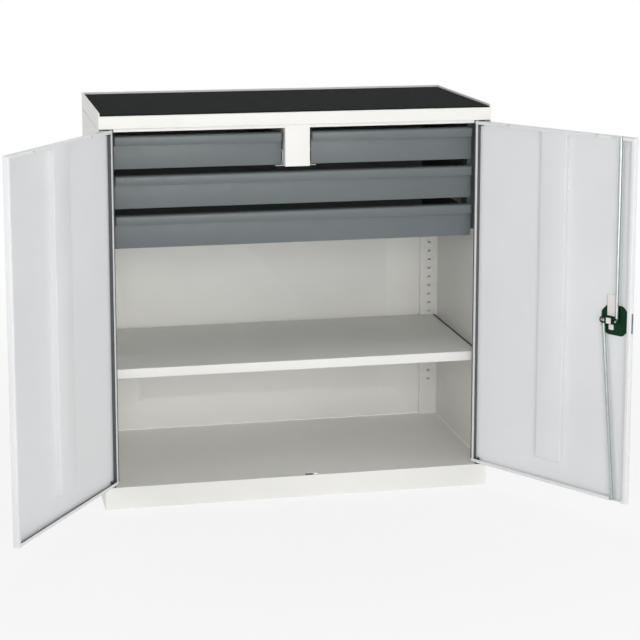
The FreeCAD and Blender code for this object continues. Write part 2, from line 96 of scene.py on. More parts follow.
class Hand(Enum):
    """The side that a piece is on; the value is the sign of its X."""

    LEFT = -1
    RIGHT = 1

    @property
    def label(self) -> str:
        """The side as it stands in the pieces' names."""
        return self.name.lower()


def facing(axis: Axis, sign: int) -> FaceTest:
    """A test for the faces that look along an axis, to its positive end (1) or its negative one (-1)."""
    return lambda face: face.normal[axis.value] * sign > FACING


def across(axis: Axis) -> FaceTest:
    """A test for the faces that look along an axis, either way."""
    return lambda face: abs(face.normal[axis.value]) > FACING


def any_of(*tests: FaceTest) -> FaceTest:
    """A test for the faces that pass one of several tests."""
    return lambda face: any(test(face) for test in tests)


def folds() -> EdgeTest:
    """A test for the edges where two faces meet at an angle."""
    return lambda edge: len(edge.link_faces) == 2 and edge.calc_face_angle(0.0) > FOLD_ANGLE


def along(axis: Axis) -> EdgeTest:
    """A test for the edges that run along an axis."""
    return lambda edge: abs((edge.verts[1].co - edge.verts[0].co).normalized()[axis.value]) > ALONG


def on_line(y: float, z: float) -> EdgeTest:
    """A test for the edges on the line along X at a depth and a height."""
    return lambda edge: all(abs(v.co.y - y) < NEAR and abs(v.co.z - z) < NEAR for v in edge.verts)


def everything(part: object) -> bool:
    """A test that every part of a mesh passes."""
    return True


def make_whole() -> None:
    """Merges the selected mesh's doubles, and then its flat faces."""
    bpy.ops.mesh.remove_doubles(threshold=MERGE)
    bpy.ops.mesh.dissolve_limited(angle_limit=FLAT_ANGLE)


def deselect() -> None:
    """Clears the selection."""
    bpy.ops.object.select_all(action="DESELECT")


class Bench:
    """One piece in the making, shaped with modelling operators."""

    def __init__(self, name: str) -> None:
        """Starts an empty piece under the finished piece's name."""
        self.name = name
        self.obj: Optional[bpy.types.Object] = None

    def _take(self) -> "Bench":
        """Takes the operator's new object as this piece, with its place in its mesh.

        Returns:
            This piece.
        """
        self.obj = bpy.context.active_object
        self.obj.name = self.name
        self.obj.data.name = self.name
        bpy.ops.object.transform_apply()
        return self

    def _alone(self) -> None:
        """Selects this piece and nothing else."""
        deselect()
        self.obj.select_set(True)
        bpy.context.view_layer.objects.active = self.obj

    def block(self, low: Point, high: Point) -> "Bench":
        """Starts from a cube that fills a box.

        Args:
            low: the box's lowest corner.
            high: its highest corner.

        Returns:
            This piece.
        """
        deselect()
        middle = [(a + b) / 2 for a, b in zip(low, high)]
        bpy.ops.mesh.primitive_cube_add(size=1, location=middle, scale=[b - a for a, b in zip(low, high)])
        return self._take()

    def barrel(self, start: Point, end: Point, radius: float, sides: int) -> "Bench":
        """Starts from a cylinder between two points.

        Args:
            start: the middle of one end.
            end: the middle of the other.
            radius: its radius.
            sides: the number of its sides.

        Returns:
            This piece.
        """
        deselect()
        way = Vector(end) - Vector(start)
        turn = way.to_track_quat("Z", "Y").to_euler()
        bpy.ops.mesh.primitive_cylinder_add(vertices=sides, radius=radius, depth=way.length,
                                            location=(Vector(start) + Vector(end)) / 2, rotation=turn)
        return self._take()

    def twin(self, node: str) -> "Bench":
        """Starts from a merged copy of a CAD node's mesh, with the flat faces made whole.

        Args:
            node: the CAD node.

        Returns:
            This piece.
        """
        deselect()
        self.obj = bpy.data.objects.new(self.name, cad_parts[node].data.copy())
        self.obj.data.name = self.name
        self.obj.data.materials.clear()
        bpy.context.scene.collection.objects.link(self.obj)
        return self._edit("VERT", everything, make_whole)

    def _edit(self, kind: str, test: Callable[[object], bool], operator: Callable,
              **settings: object) -> "Bench":
        """Runs an operator in edit mode with only the matching parts of the mesh selected.

        Args:
            kind: VERT, EDGE or FACE.
            test: says which of them to select.
            operator: the operator, or a function that runs several.
            settings: its settings.

        Returns:
            This piece.
        """
        self._alone()
        bpy.ops.object.mode_set(mode="EDIT")
        bpy.ops.mesh.select_mode(type=kind)
        bpy.ops.mesh.select_all(action="DESELECT")
        mesh = bmesh.from_edit_mesh(self.obj.data)
        mesh.normal_update()
        items = {"VERT": mesh.verts, "EDGE": mesh.edges, "FACE": mesh.faces}[kind]
        for item in [item for item in items if test(item)]:
            item.select_set(True)
        mesh.select_flush_mode()
        bmesh.update_edit_mesh(self.obj.data)
        operator(**settings)
        bpy.ops.object.mode_set(mode="OBJECT")
        return self

    def drop(self, test: FaceTest) -> "Bench":
        """Deletes the faces that pass a test."""
        return self._edit("FACE", test, bpy.ops.mesh.delete, type="FACE")

    def inset(self, test: FaceTest, width: float) -> "Bench":
        """Insets the faces that pass a test, and leaves a border of a width round them."""
        return self._edit("FACE", test, bpy.ops.mesh.inset, thickness=width)

    def fold(self, test: EdgeTest, way: Point) -> "Bench":
        """Extrudes the edges that pass a test by a vector, as a flange is bent from a sheet."""
        shift = {"value": tuple(way)}
        return self._edit("EDGE", test, bpy.ops.mesh.extrude_edges_move, TRANSFORM_OT_translate=shift)

    def round(self, test: EdgeTest, radius: float, segments: int = 4) -> "Bench":
        """Bevels the edges that pass a test, by a radius in a number of steps."""
        return self._edit("EDGE", test, bpy.ops.mesh.bevel, offset=radius, segments=segments,
                          clamp_overlap=True)

    def modify(self, kind: str, **settings: object) -> "Bench":
        """Adds a modifier and applies it.

        Args:
            kind: the modifier's type.
            settings: its properties.

        Returns:
            This piece.
        """
        self._alone()
        modifier = self.obj.modifiers.new(kind.lower(), kind)
        for name, value in settings.items():
            setattr(modifier, name, value)
        bpy.ops.object.modifier_apply(modifier=modifier.name)
        return self

    def thicken(self, thickness: float = SHEET) -> "Bench":
        """Gives a sheet its thickness, inwards."""
        return self.modify("SOLIDIFY", thickness=thickness, offset=-1.0, use_even_offset=True,
                           use_quality_normals=True)

    def soften(self, radius: float, segments: int = 2) -> "Bench":
        """Rounds every sharp edge."""
        return self.modify("BEVEL", width=radius, segments=segments, limit_method="ANGLE",
                           angle_limit=SHARP_ANGLE, miter_outer="MITER_ARC")

    def _combine(self, operation: str, other: "Bench") -> "Bench":
        """Combines with another piece's shape, and discards that piece.

        Args:
            operation: DIFFERENCE or UNION.
            other: the other piece.

        Returns:
            This piece.
        """
        self.modify("BOOLEAN", operation=operation, object=other.obj, solver="EXACT")
        bpy.data.objects.remove(other.obj)
        return self

    def cut(self, tool: "Bench") -> "Bench":
        """Cuts another piece's shape away."""
        return self._combine("DIFFERENCE", tool)

    def weld(self, other: "Bench") -> "Bench":
        """Unites with another piece's shape."""
        return self._combine("UNION", other)

    def join(self, other: "Bench") -> "Bench":
        """Takes another piece's mesh into this one.

        Args:
            other: the other piece.

        Returns:
            This piece.
        """
        self._alone()
        other.obj.select_set(True)
        bpy.ops.object.join()
        return self

    def repeat(self, count: int, step: Point) -> "Bench":
        """Repeats the piece along a step."""
        return self.modify("ARRAY", count=count, use_relative_offset=False, use_constant_offset=True,
                           constant_offset_displace=tuple(step))

    def turn(self, pivot: Point, angle: float) -> "Bench":
        """Turns the piece about an upright line.

        Args:
            pivot: a point on the line.
            angle: the angle in radians.

        Returns:
            This piece.
        """
        self._alone()
        spin = Matrix.Rotation(angle, 4, "Z")
        self.obj.matrix_world = Matrix.Translation(pivot) @ spin @ Matrix.Translation(-Vector(pivot))
        bpy.ops.object.transform_apply()
        return self

    def finish(self, body: str, finish: "Finish", replaces: Sequence[str] = ()) -> None:
        """Turns faces outward, shades, paints and hangs the piece on its body.

        Args:
            body: the CAD body that carries it.
            finish: its material.
            replaces: the CAD nodes that it stands for.
        """
        self._edit("FACE", everything, bpy.ops.mesh.normals_make_consistent, inside=False)
        bpy.ops.object.shade_smooth_by_angle(angle=SMOOTH_ANGLE)
        self.obj.data.materials.clear()
        self.obj.data.materials.append(finish.material())
        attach(self.obj, body)
        if replaces:
            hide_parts(*replaces)
        LOG.info("piece %s on %s", self.name, body)


Number = Union["Signal", float]


class Signal:
    """A shader socket that takes part in sums and products, and makes further nodes."""

    def __init__(self, tree: bpy.types.NodeTree, socket: Optional[bpy.types.NodeSocket] = None) -> None:
        """Wraps an output socket of a tree, or none for the start of the tree."""
        self.tree = tree
        self.socket = socket

    def node(self, kind: str, output: Union[int, str] = 0, props: Optional[dict] = None,
             **inputs: object) -> "Signal":
        """Adds a node of any kind.

        Args:
            kind: the node's type.
            output: the output socket to wrap.
            props: the node's own properties.
            inputs: values or signals by socket name, with _ for a space, or by place, such as in0.

        Returns:
            The output as a signal.
        """
        made = self.tree.nodes.new(kind)
        for name, value in (props or {}).items():
            setattr(made, name, value)
        for name, value in inputs.items():
            self.feed(self.find(made, name), value)
        return Signal(self.tree, made.outputs[output])

    @staticmethod
    def find(made: bpy.types.Node, name: str) -> bpy.types.NodeSocket:
        """Finds an input socket.

        Args:
            made: the node.
            name: the socket's name, with _ for a space, or its place, such as in0.

        Returns:
            The socket.
        """
        if name.startswith("in") and name[2:].isdigit():
            return made.inputs[int(name[2:])]
        wanted = name.replace("_", " ").lower()
        return next(s for s in made.inputs if s.name.lower() == wanted and s.enabled)

    def feed(self, target: bpy.types.NodeSocket, value: object) -> None:
        """Links a signal to a socket, or sets a constant on it.

        Args:
            target: the socket.
            value: the signal or the constant.
        """
        if isinstance(value, Signal):
            self.tree.links.new(value.socket, target)
        else:
            target.default_value = value

    def _math(self, operation: str, first: Number, second: Number) -> "Signal":
        """A Math node."""
        return self.node("ShaderNodeMath", props={"operation": operation}, in0=first, in1=second)

    def __add__(self, other: Number) -> "Signal":
        """Sum."""
        return self._math("ADD", self, other)

    def __radd__(self, other: Number) -> "Signal":
        """Sum, reflected."""
        return self._math("ADD", other, self)

    def __sub__(self, other: Number) -> "Signal":
        """Difference."""
        return self._math("SUBTRACT", self, other)

    def __rsub__(self, other: Number) -> "Signal":
        """Difference, reflected."""
        return self._math("SUBTRACT", other, self)

    def __mul__(self, other: Number) -> "Signal":
        """Product."""
        return self._math("MULTIPLY", self, other)

    def __rmul__(self, other: Number) -> "Signal":
        """Product, reflected."""
        return self._math("MULTIPLY", other, self)

    def noise(self, scale: float, detail: float = 2.0, stretch: Point = (1, 1, 1)) -> "Signal":
        """Noise on object coordinates.

        Args:
            scale: its scale per metre.
            detail: its finer layers.
            stretch: factors along the axes.

        Returns:
            The noise.
        """
        place = self.node("ShaderNodeTexCoord", output="Object")
        if tuple(stretch) != (1, 1, 1):
            place = self.node("ShaderNodeMapping", Vector=place, Scale=tuple(stretch))
        return self.node("ShaderNodeTexNoise", Vector=place, Scale=scale, Detail=detail)

    def span(self, low: float, high: float, to_low: float = 0.0, to_high: float = 1.0) -> "Signal":
        """This signal mapped from one range to another, and held within it."""
        return self.node("ShaderNodeMapRange", Value=self, From_Min=low, From_Max=high, To_Min=to_low,
                         To_Max=to_high)

    def mix(self, first: Union["Signal", tuple], second: tuple) -> "Signal":
        """A colour between two, by this signal; the first may be a signal too."""
        return self.node("ShaderNodeMix", output=2, props={"data_type": "RGBA"}, in0=self, in6=first,
                         in7=second)

    def edges(self, radius: float, flat: float, sharp: float) -> "Signal":
        """Finds the edges of a shape, from a normal rounded over a radius.

        Args:
            radius: the radius.
            flat: the likeness of the rounded normal to the plain one at which a face is flat.
            sharp: the likeness at which it is an edge.

        Returns:
            1 on the edges and 0 on the faces.
        """
        rounded = self.node("ShaderNodeBevel", Radius=radius)
        plain = self.node("ShaderNodeNewGeometry", output="Normal")
        likeness = self.node("ShaderNodeVectorMath", output="Value", props={"operation": "DOT_PRODUCT"},
                             in0=rounded, in1=plain)
        return likeness.span(flat, sharp)

    def bump(self, strength: float, distance: float) -> "Signal":
        """A bumped normal from this signal as height."""
        return self.node("ShaderNodeBump", Strength=strength, Distance=distance, Height=self)


def opaque(colour: Point, factor: float = 1.0) -> tuple:
    """A colour made lighter or darker by a factor, with its alpha."""
    return (*(min(1.0, c * factor) for c in colour), 1.0)


@dataclass(frozen=True)
class Finish:
    """A finish: the record's slot, a colour with its mottling, lighter edges that are part rubbed paint and
    part painted highlight, gloss and fine relief.
    """

    slot: str
    colour: tuple
    roughness: float = 0.4
    roughness_swing: float = 0.06
    metallic: float = 0.0
    specular: float = 0.5
    mottle: float = 0.03
    mottle_scale: float = 5.0
    mottle_detail: float = 3.0
    noise_range: tuple = (0.3, 0.7)
    gloss_finer: float = 9
    grain_scale: float = 900.0
    grain_depth: float = 0.00006
    grain_strength: float = 0.25
    stretch: tuple = (1, 1, 1)
    wear_and_highlight: float = 0.0
    wear_and_highlight_colour: tuple = (0.5, 0.5, 0.5)
    wear_and_highlight_radius: float = 0.0012
    wear_and_highlight_likeness: tuple = (0.995, 0.86)
    wear_and_highlight_finer: float = 14
    wear_and_highlight_detail: float = 4.0
    wear_and_highlight_patches: tuple = (0.35, 0.65, 0.2, 1.0)

    def material(self) -> bpy.types.Material:
        """Makes the finish's material, once.

        Returns:
            The material.
        """
        known = bpy.data.materials.get("finish_" + self.slot)
        if known:
            return known
        made = bpy.data.materials.new("finish_" + self.slot)
        made.use_nodes = True
        sockets = made.node_tree.nodes["Principled BSDF"].inputs
        start = Signal(made.node_tree)
        start.feed(sockets["Base Color"], self.tone(start))
        gloss = start.noise(self.mottle_scale * self.gloss_finer, self.mottle_detail, self.stretch)
        start.feed(sockets["Roughness"],
                   gloss.span(*self.noise_range, self.roughness - self.roughness_swing,
                              self.roughness + self.roughness_swing))
        grain = start.noise(self.grain_scale, stretch=self.stretch)
        start.feed(sockets["Normal"], grain.bump(self.grain_strength, self.grain_depth))
        sockets["Metallic"].default_value = self.metallic
        sockets["Specular IOR Level"].default_value = self.specular
        return made

    def tone(self, start: Signal) -> Signal:
        """The mottled colour, turned on the edges towards a lighter one that is part rubbed paint and part
        painted highlight.

        Args:
            start: the start of the material's tree.

        Returns:
            The colour.
        """
        broad = start.noise(self.mottle_scale, self.mottle_detail).span(*self.noise_range)
        tone = broad.mix(opaque(self.colour, 1 - self.mottle), opaque(self.colour, 1 + self.mottle))
        if not self.wear_and_highlight:
            return tone
        # Lighter edges: part rubbed paint, part painted highlight along every edge.
        patches = start.noise(self.mottle_scale * self.wear_and_highlight_finer, self.wear_and_highlight_detail)
        worn_and_lit = start.edges(self.wear_and_highlight_radius, *self.wear_and_highlight_likeness) * patches.span(*self.wear_and_highlight_patches)
        return (worn_and_lit * self.wear_and_highlight).mix(tone, opaque(self.wear_and_highlight_colour))

    def dress(self, *nodes: str) -> None:
        """Paints CAD nodes that keep their own mesh.

        Args:
            nodes: the nodes.
        """
        for name in nodes:
            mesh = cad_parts[name].data
            mesh.materials.clear()
            mesh.materials.append(self.material())
            LOG.info("node %s painted", name)


# Each lighter edge colour below is part rubbed paint and part painted highlight.
CARCASS_PAINT = Finish("carcass_paint", (0.845, 0.838, 0.802), roughness=0.42, mottle=0.014, wear_and_highlight=0.35,
                       wear_and_highlight_colour=(0.93, 0.93, 0.91))
DOOR_PAINT = Finish("door_paint", (0.80, 0.81, 0.82), roughness=0.45, mottle=0.018, wear_and_highlight=0.5,
                    wear_and_highlight_colour=(0.90, 0.90, 0.91))
DRAWER_PAINT = Finish("drawer_paint", (0.118, 0.139, 0.143), roughness=0.38, mottle=0.05, wear_and_highlight=0.7,
                      wear_and_highlight_colour=(0.30, 0.33, 0.335))
ZINC = Finish("zinc", (0.46, 0.51, 0.51), roughness=0.34, metallic=0.85, mottle=0.08, mottle_scale=60.0,
              grain_scale=1400.0, stretch=(1, 1, 0.12))
MAT_RUBBER = Finish("mat_rubber", (0.0115, 0.0138, 0.0130), roughness=0.85, mottle=0.10, mottle_scale=30.0,
                    grain_scale=1600.0, grain_strength=0.4, specular=0.10)
BUFFER_RUBBER = Finish("buffer_rubber", (0.70, 0.70, 0.69), roughness=0.7)
# A dark finish for the door strips that are painted shade: they stand in for shadows on the flanges and at
# the hinges, and are not real seals.
PAINTED_SHADE_STRIP = Finish("seal_foam", (0.11, 0.112, 0.115), roughness=0.85, mottle=0.08, mottle_scale=90.0,
                   grain_scale=1800.0, grain_strength=0.5)
DARK_PLASTIC = Finish("dark_plastic", (0.028, 0.028, 0.030), roughness=0.5, grain_scale=2200.0)
LIGHT_PLASTIC = Finish("light_plastic", (0.82, 0.77, 0.75), roughness=0.45, grain_scale=1800.0)
LOCK_GREEN = Finish("lock_green", (0.0025, 0.036, 0.013), roughness=0.42, mottle=0.08, mottle_scale=25.0,
                    specular=0.10, wear_and_highlight=0.4, wear_and_highlight_colour=(0.02, 0.08, 0.04))
KEY_METAL = Finish("key_metal", (0.72, 0.72, 0.70), roughness=0.22, metallic=1.0, mottle=0.05,
                   mottle_scale=120.0, grain_scale=2600.0)


def node_box(node: str) -> tuple:
    """The lowest and highest corner of a CAD node."""
    low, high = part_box(node)
    return tuple(low), tuple(high)


@dataclass
class Carcass:
    """The fixed sheet metal: plinth, lid with its mat, partition, shelf, walls and the plain panels."""

    body: str = "cabinet"
    plinth_radius: float = 0.003
    plinth_wall: float = 0.0015
    beam_half: float = 0.04
    beam_clear: float = 0.002
    beam_rise: float = 0.012
    beam_radius: float = 0.002
    lid_radius: float = 0.0022
    lid_top: float = 1.0
    fold_depth: float = 0.040
    rim_width: float = 0.004
    rim_sink: float = 0.002
    rim_edge: float = 0.0012
    mat_corner: float = 0.002
    rib_pitch: float = 0.005
    rib_width: float = 0.0032
    rib_height: float = 0.0011
    rib_inset: float = 0.001
    rib_sink: float = 0.0002
    rib_edge: float = 0.0009
    post_half: float = 0.032
    post_radius: float = 0.0025
    post_top: float = 0.958
    plate_front: float = -0.201
    feet_front: float = -0.2085
    shelf_radius: float = 0.0022
    lip_return: float = 0.012
    end_shade_width: float = 0.008
    end_shade_drop: float = 0.006
    end_shade_front: float = -0.168
    end_shade_gap: float = 0.0002
    end_shade_low: float = 0.0006
    end_shade_edge: float = 0.0008
    seam: float = 0.0012
    hem_width: float = 0.002
    hem_depth: float = 0.012
    wall_edge: float = 0.0005
    fixing_span: float = 0.7
    fixing_inset: float = 0.09
    fixing_radius: float = 0.0045
    cap_radius: float = 0.0075
    cap_rise: float = 0.002
    stem_short: float = 0.0004
    stem_play: float = 0.0002
    hole_sides: int = 32

    def build(self) -> None:
        """Models every piece of the carcass and paints the nodes that stay."""
        self.plinth()
        self.lid()
        self.mat()
        self.partition()
        self.shelf()
        self.sides()
        self.back()
        CARCASS_PAINT.dress("floor_panel", "front_post_left", "front_post_right", "rear_upright_left",
                            "rear_upright_right", "top_rail")
        # The hangers take the dark drawer paint as painted shade, so that the gaps by the drawers read dark.
        DRAWER_PAINT.dress("drawer_hangers")
        ZINC.dress("shelf_clips", "hinge_pins")

    def plinth(self) -> None:
        """The base frame: a folded ring, and a cross-member."""
        (x0, y0, z0), (x1, y1, z1) = node_box("base_frame")
        ring = Bench("plinth").block((x0, y0, z0), (x1, y1, z1))
        ring.drop(across(Axis.Z))
        ring.round(along(Axis.Z), self.plinth_radius).thicken(self.plinth_wall)
        beam = Bench("plinth_beam").block((-self.beam_half, y0 + self.beam_clear, z0 + self.beam_rise),
                                          (self.beam_half, y1 - self.beam_clear, z1))
        beam.drop(facing(Axis.Z, 1)).drop(across(Axis.Y))
        beam.round(folds(), self.beam_radius).thicken()
        ring.join(beam).finish(self.body, CARCASS_PAINT, ["base_frame"])

    def lid(self) -> None:
        """The lid pan with rounded folds, a front fold below, and a rim on three sides."""
        (x0, y0, z0), (x1, y1, z1) = node_box("top_cap")
        top, width = self.lid_top, self.rim_width
        pan = Bench("lid_pan").block((x0, y0, z0), (x1, y1, top))
        pan.drop(facing(Axis.Z, -1))
        pan.fold(on_line(y0, z0), (0, self.fold_depth, 0))
        pan.round(folds(), self.lid_radius).thicken()
        rim = Bench("lid_rim").block((x0, y0, top - self.rim_sink), (x1, y1, z1))
        rim.cut(Bench("rim_room").block((x0 + width, y0 - DEEP_CUT, top - DEEP_CUT),
                                        (x1 - width, y1 - width, z1 + DEEP_CUT)))
        rim.soften(self.rim_edge, 3)
        pan.join(rim).finish(self.body, CARCASS_PAINT, ["top_cap"])

    def mat(self) -> None:
        """The ribbed rubber mat: a thin slab with rounded ribs across the lid."""
        (x0, y0, z0), (x1, y1, z1) = node_box("top_mat")
        slab = Bench("lid_mat").block((x0, y0, z0), (x1, y1, z1 - self.rib_height))
        slab.round(along(Axis.Z), self.mat_corner, 3)
        count = int((y1 - y0) / self.rib_pitch)
        start = (y0 + y1) / 2 - (count - 1) * self.rib_pitch / 2
        half, low = self.rib_width / 2, z1 - self.rib_height - self.rib_sink
        rib = Bench("mat_rib").block((x0 + self.rib_inset, start - half, low),
                                     (x1 - self.rib_inset, start + half, z1))
        rib.round(lambda e: along(Axis.X)(e) and e.verts[0].co.z > z1 - NEAR, self.rib_edge, 3)
        rib.repeat(count, (0, self.rib_pitch, 0))
        slab.join(rib).finish(self.body, MAT_RUBBER, ["top_mat"])

    def partition(self) -> None:
        """The folded post between the half-width drawers, with its plates and feet."""
        (x0, y0, z0), (x1, y1, z1) = node_box("centre_partition")
        half, low, top = self.post_half, z0 + SHEET, self.post_top
        post = Bench("partition_post").block((-half, y0, low), (half, y1, top))
        post.drop(any_of(across(Axis.Z), facing(Axis.Y, 1)))
        post.round(folds(), self.post_radius).thicken()
        for hand in Hand:
            a, b = sorted((hand.value * half, hand.value * (half - SHEET)))
            plate = Bench("partition_plate").block((a, self.plate_front, top - OVERCUT), (b, y1, z1))
            post.join(plate.soften(THIN_EDGE))
        feet = Bench("partition_feet").block((x0, self.feet_front, z0), (x1, y1, low)).soften(FINE_EDGE)
        post.join(feet).finish(self.body, CARCASS_PAINT, ["centre_partition"])

    def shelf(self) -> None:
        """The shelf tray with lips bent down and back at front and rear, and dark strips at its ends as
        painted shade for the gaps by the side walls.
        """
        (x0, y0, z0), (x1, y1, z1) = node_box("shelf")
        tray = Bench("shelf_tray").block((x0, y0, z0), (x1, y1, z1))
        tray.drop(any_of(facing(Axis.Z, -1), across(Axis.X)))
        for y, way in ((y0, 1), (y1, -1)):
            tray.fold(on_line(y, z0), (0, way * self.lip_return, 0))
        tray.round(folds(), self.shelf_radius).thicken().finish(self.body, CARCASS_PAINT, ["shelf"])
        # Dark strips at the shelf's ends: painted shade for the shadow gaps between the shelf and the side
        # walls.
        for hand in Hand:
            a, b = sorted((hand.value * (x1 + self.end_shade_gap), hand.value * (x1 + self.end_shade_width)))
            end_shade = Bench("shelf_edging_" + hand.label).block(
                (a, self.end_shade_front, z1 - self.end_shade_drop), (b, y1, z1 - self.end_shade_low))
            end_shade.soften(self.end_shade_edge, 3).finish(self.body, DARK_PLASTIC)

    def sides(self) -> None:
        """The side walls, hemmed at the front and set in by a seam."""
        for hand in Hand:
            node = "side_panel_" + hand.label
            (x0, y0, z0), (x1, y1, z1) = node_box(node)
            outer = x1 if hand is Hand.RIGHT else x0
            low, high = z0 + self.seam, z1 - self.seam
            a, b = sorted((outer, outer - hand.value * SHEET))
            wall = Bench("wall_" + hand.label).block((a, y0, low), (b, y1 - self.seam, high))
            a, b = sorted((outer, outer - hand.value * self.hem_width))
            hem = Bench("wall_hem").block((a, y0, low), (b, y0 + self.hem_depth, high))
            wall.weld(hem).soften(self.wall_edge, 3).finish(self.body, CARCASS_PAINT, [node])

    def back(self) -> None:
        """The back wall, set in by a seam, with its fixing holes and the caps that close them."""
        (x0, y0, z0), (x1, y1, z1) = node_box("back_panel")
        rows = {"lower": z0 + self.fixing_inset, "upper": z1 - self.fixing_inset}
        sheet = Bench("wall_back").block((x0 + self.seam, y0, z0 + self.seam),
                                         (x1 - self.seam, y1, z1 - self.seam))
        for hand in Hand:
            x = hand.value * self.fixing_span / 2
            for z in rows.values():
                sheet.cut(Bench("fixing_hole").barrel((x, y0 - DEEP_CUT, z), (x, y1 + DEEP_CUT, z),
                                                      self.fixing_radius, self.hole_sides))
        sheet.soften(self.wall_edge, 3).finish(self.body, CARCASS_PAINT, ["back_panel"])
        for row, z in rows.items():
            for hand in Hand:
                x = hand.value * self.fixing_span / 2
                cap = Bench(f"fixing_cap_{row}_{hand.label}").barrel(
                    (x, y0 - self.cap_rise, z), (x, y0 - HAIR, z), self.cap_radius, self.hole_sides)
                stem = Bench("cap_stem").barrel((x, y0 - self.cap_rise / 2, z), (x, y1 - self.stem_short, z),
                                                self.fixing_radius - self.stem_play, self.hole_sides)
                cap.weld(stem).soften(SOFT_EDGE, 3).finish(self.body, CARCASS_PAINT)


@dataclass
class Door:
    """A door pan with its stiffener, modelled shut and turned by its opening in degrees to its stop."""

    hand: Hand
    side: float = 0.496
    front: float = -0.25
    width: float = 0.4945
    low: float = 0.059
    high: float = 0.964
    depth: float = 0.016
    pivot_inset: float = 0.017
    opening: float = 123.0
    lip: float = 0.009
    inner_area: float = 0.2
    fold_radius: float = 0.0026
    rib_middle: float = 0.251
    rib_width: float = 0.078
    rib_depth: float = 0.012
    rib_rise: float = 0.060
    rib_radius: float = 0.0018
    rib_wall: float = 0.001
    shade_strip_thickness: float = 0.001
    bead_width: float = 0.0034
    bead_wrap: float = 0.003
    bead_proud: float = 0.0008
    sill_inset: float = 0.0035
    sill_thickness: float = 0.001
    sill_seal: bool = False

    @property
    def name(self) -> str:
        """The door's CAD body."""
        return self.hand.label + "_door"

    def spot(self, s: float, q: float, z: float) -> tuple:
        """A point of the shut door, by its distance from the hinge edge, its depth and its height."""
        return (self.hand.value * (self.side - s), self.front + q, z)

    def block(self, name: str, s: Point, q: Point, z: Point) -> Bench:
        """A block in the shut door.

        Args:
            name: the piece's name.
            s: its range of distances from the hinge edge.
            q: its range of depths behind the outer face.
            z: its range of heights.

        Returns:
            The block.
        """
        ends = [self.spot(*place) for place in zip(s, q, z)]
        low, high = zip(*(sorted(pair) for pair in zip(*ends)))
        return Bench(name).block(low, high)

    def opened(self, piece: Bench) -> Bench:
        """Turns a piece of the shut door to the open stop."""
        pivot = self.spot(self.pivot_inset, self.depth / 2, 0.0)
        return piece.turn(pivot, self.hand.value * math.radians(self.opening))

    def build(self) -> None:
        """Models the pan, the stiffener and the dark strips of painted shade, and paints the small nodes."""
        self.opened(self.pan()).finish(self.name, DOOR_PAINT, [self.name + "_pan"])
        self.opened(self.stiffener()).finish(self.name, DOOR_PAINT, [self.name + "_stiffener"])
        DARK_PLASTIC.dress(self.name + "_bushes")
        BUFFER_RUBBER.dress(self.name + "_buffers")
        # The dark strip on the hinge flange is painted shade, in place of that flange's shadow.
        self.opened(self.seal()).finish(self.name, PAINTED_SHADE_STRIP, [self.name + "_seal"])
        # The dark strip round the hinge corner is painted shade too, for the shadow gap at the hinge edge.
        self.opened(self.bead()).finish(self.name, PAINTED_SHADE_STRIP)
        # The left door's dark strip on its bottom flange is painted shade along that flange.
        if self.sill_seal:
            self.opened(self.sill()).finish(self.name, PAINTED_SHADE_STRIP)

    def pan(self) -> Bench:
        """The sheet with flanges round it and lips bent inwards.

        Returns:
            The pan, shut.
        """
        piece = self.block(self.name + "_sheet", (0, self.width), (0, self.depth), (self.low, self.high))
        piece.inset(facing(Axis.Y, 1), self.lip)
        piece.drop(lambda f: facing(Axis.Y, 1)(f) and f.calc_area() > self.inner_area)
        return piece.round(folds(), self.fold_radius).thicken()

    def stiffener(self) -> Bench:
        """The hat channel that runs down the middle of the sheet.

        Returns:
            The channel, shut.
        """
        half = self.rib_width / 2
        piece = self.block(self.name + "_channel", (self.rib_middle - half, self.rib_middle + half),
                           (SHEET, SHEET + self.rib_depth), (self.low + self.rib_rise, self.high - SHEET))
        piece.drop(facing(Axis.Y, -1))
        return piece.round(folds(), self.rib_radius).thicken(self.rib_wall)

    def seal(self) -> Bench:
        """A dark strip along the inner face of the hinge flange, with rounded edges: painted shade in place
        of the flange's shadow.
        """
        heights = (self.low + SHEET, self.high - SHEET)
        return self.block(self.name + "_strip", (SHEET, SHEET + self.shade_strip_thickness),
                          (SHEET, self.depth - SHEET), heights).soften(FINE_EDGE)

    def bead(self) -> Bench:
        """The dark strip that wraps the inner corner of the hinge edge: painted shade in place of the shadow
        gap there.
        """
        depth = (self.depth - self.bead_wrap, self.depth + self.bead_proud)
        return self.block(self.name + "_bead", (0.0, self.bead_width), depth,
                          (self.low + self.lip, self.high - self.lip)).soften(SOFT_EDGE, 3)

    def sill(self) -> Bench:
        """The dark strip that lies on the bottom flange, behind its lip: painted shade in place of the
        shadow along that flange.

        Returns:
            The strip, shut.
        """
        low = self.low + SHEET
        depth = (SHEET, self.depth - SHEET - self.sill_inset / 2)
        strip = self.block(self.name + "_sill_strip", (self.sill_inset, self.width - self.sill_inset),
                           depth, (low, low + self.sill_thickness))
        return strip.soften(FINE_EDGE)


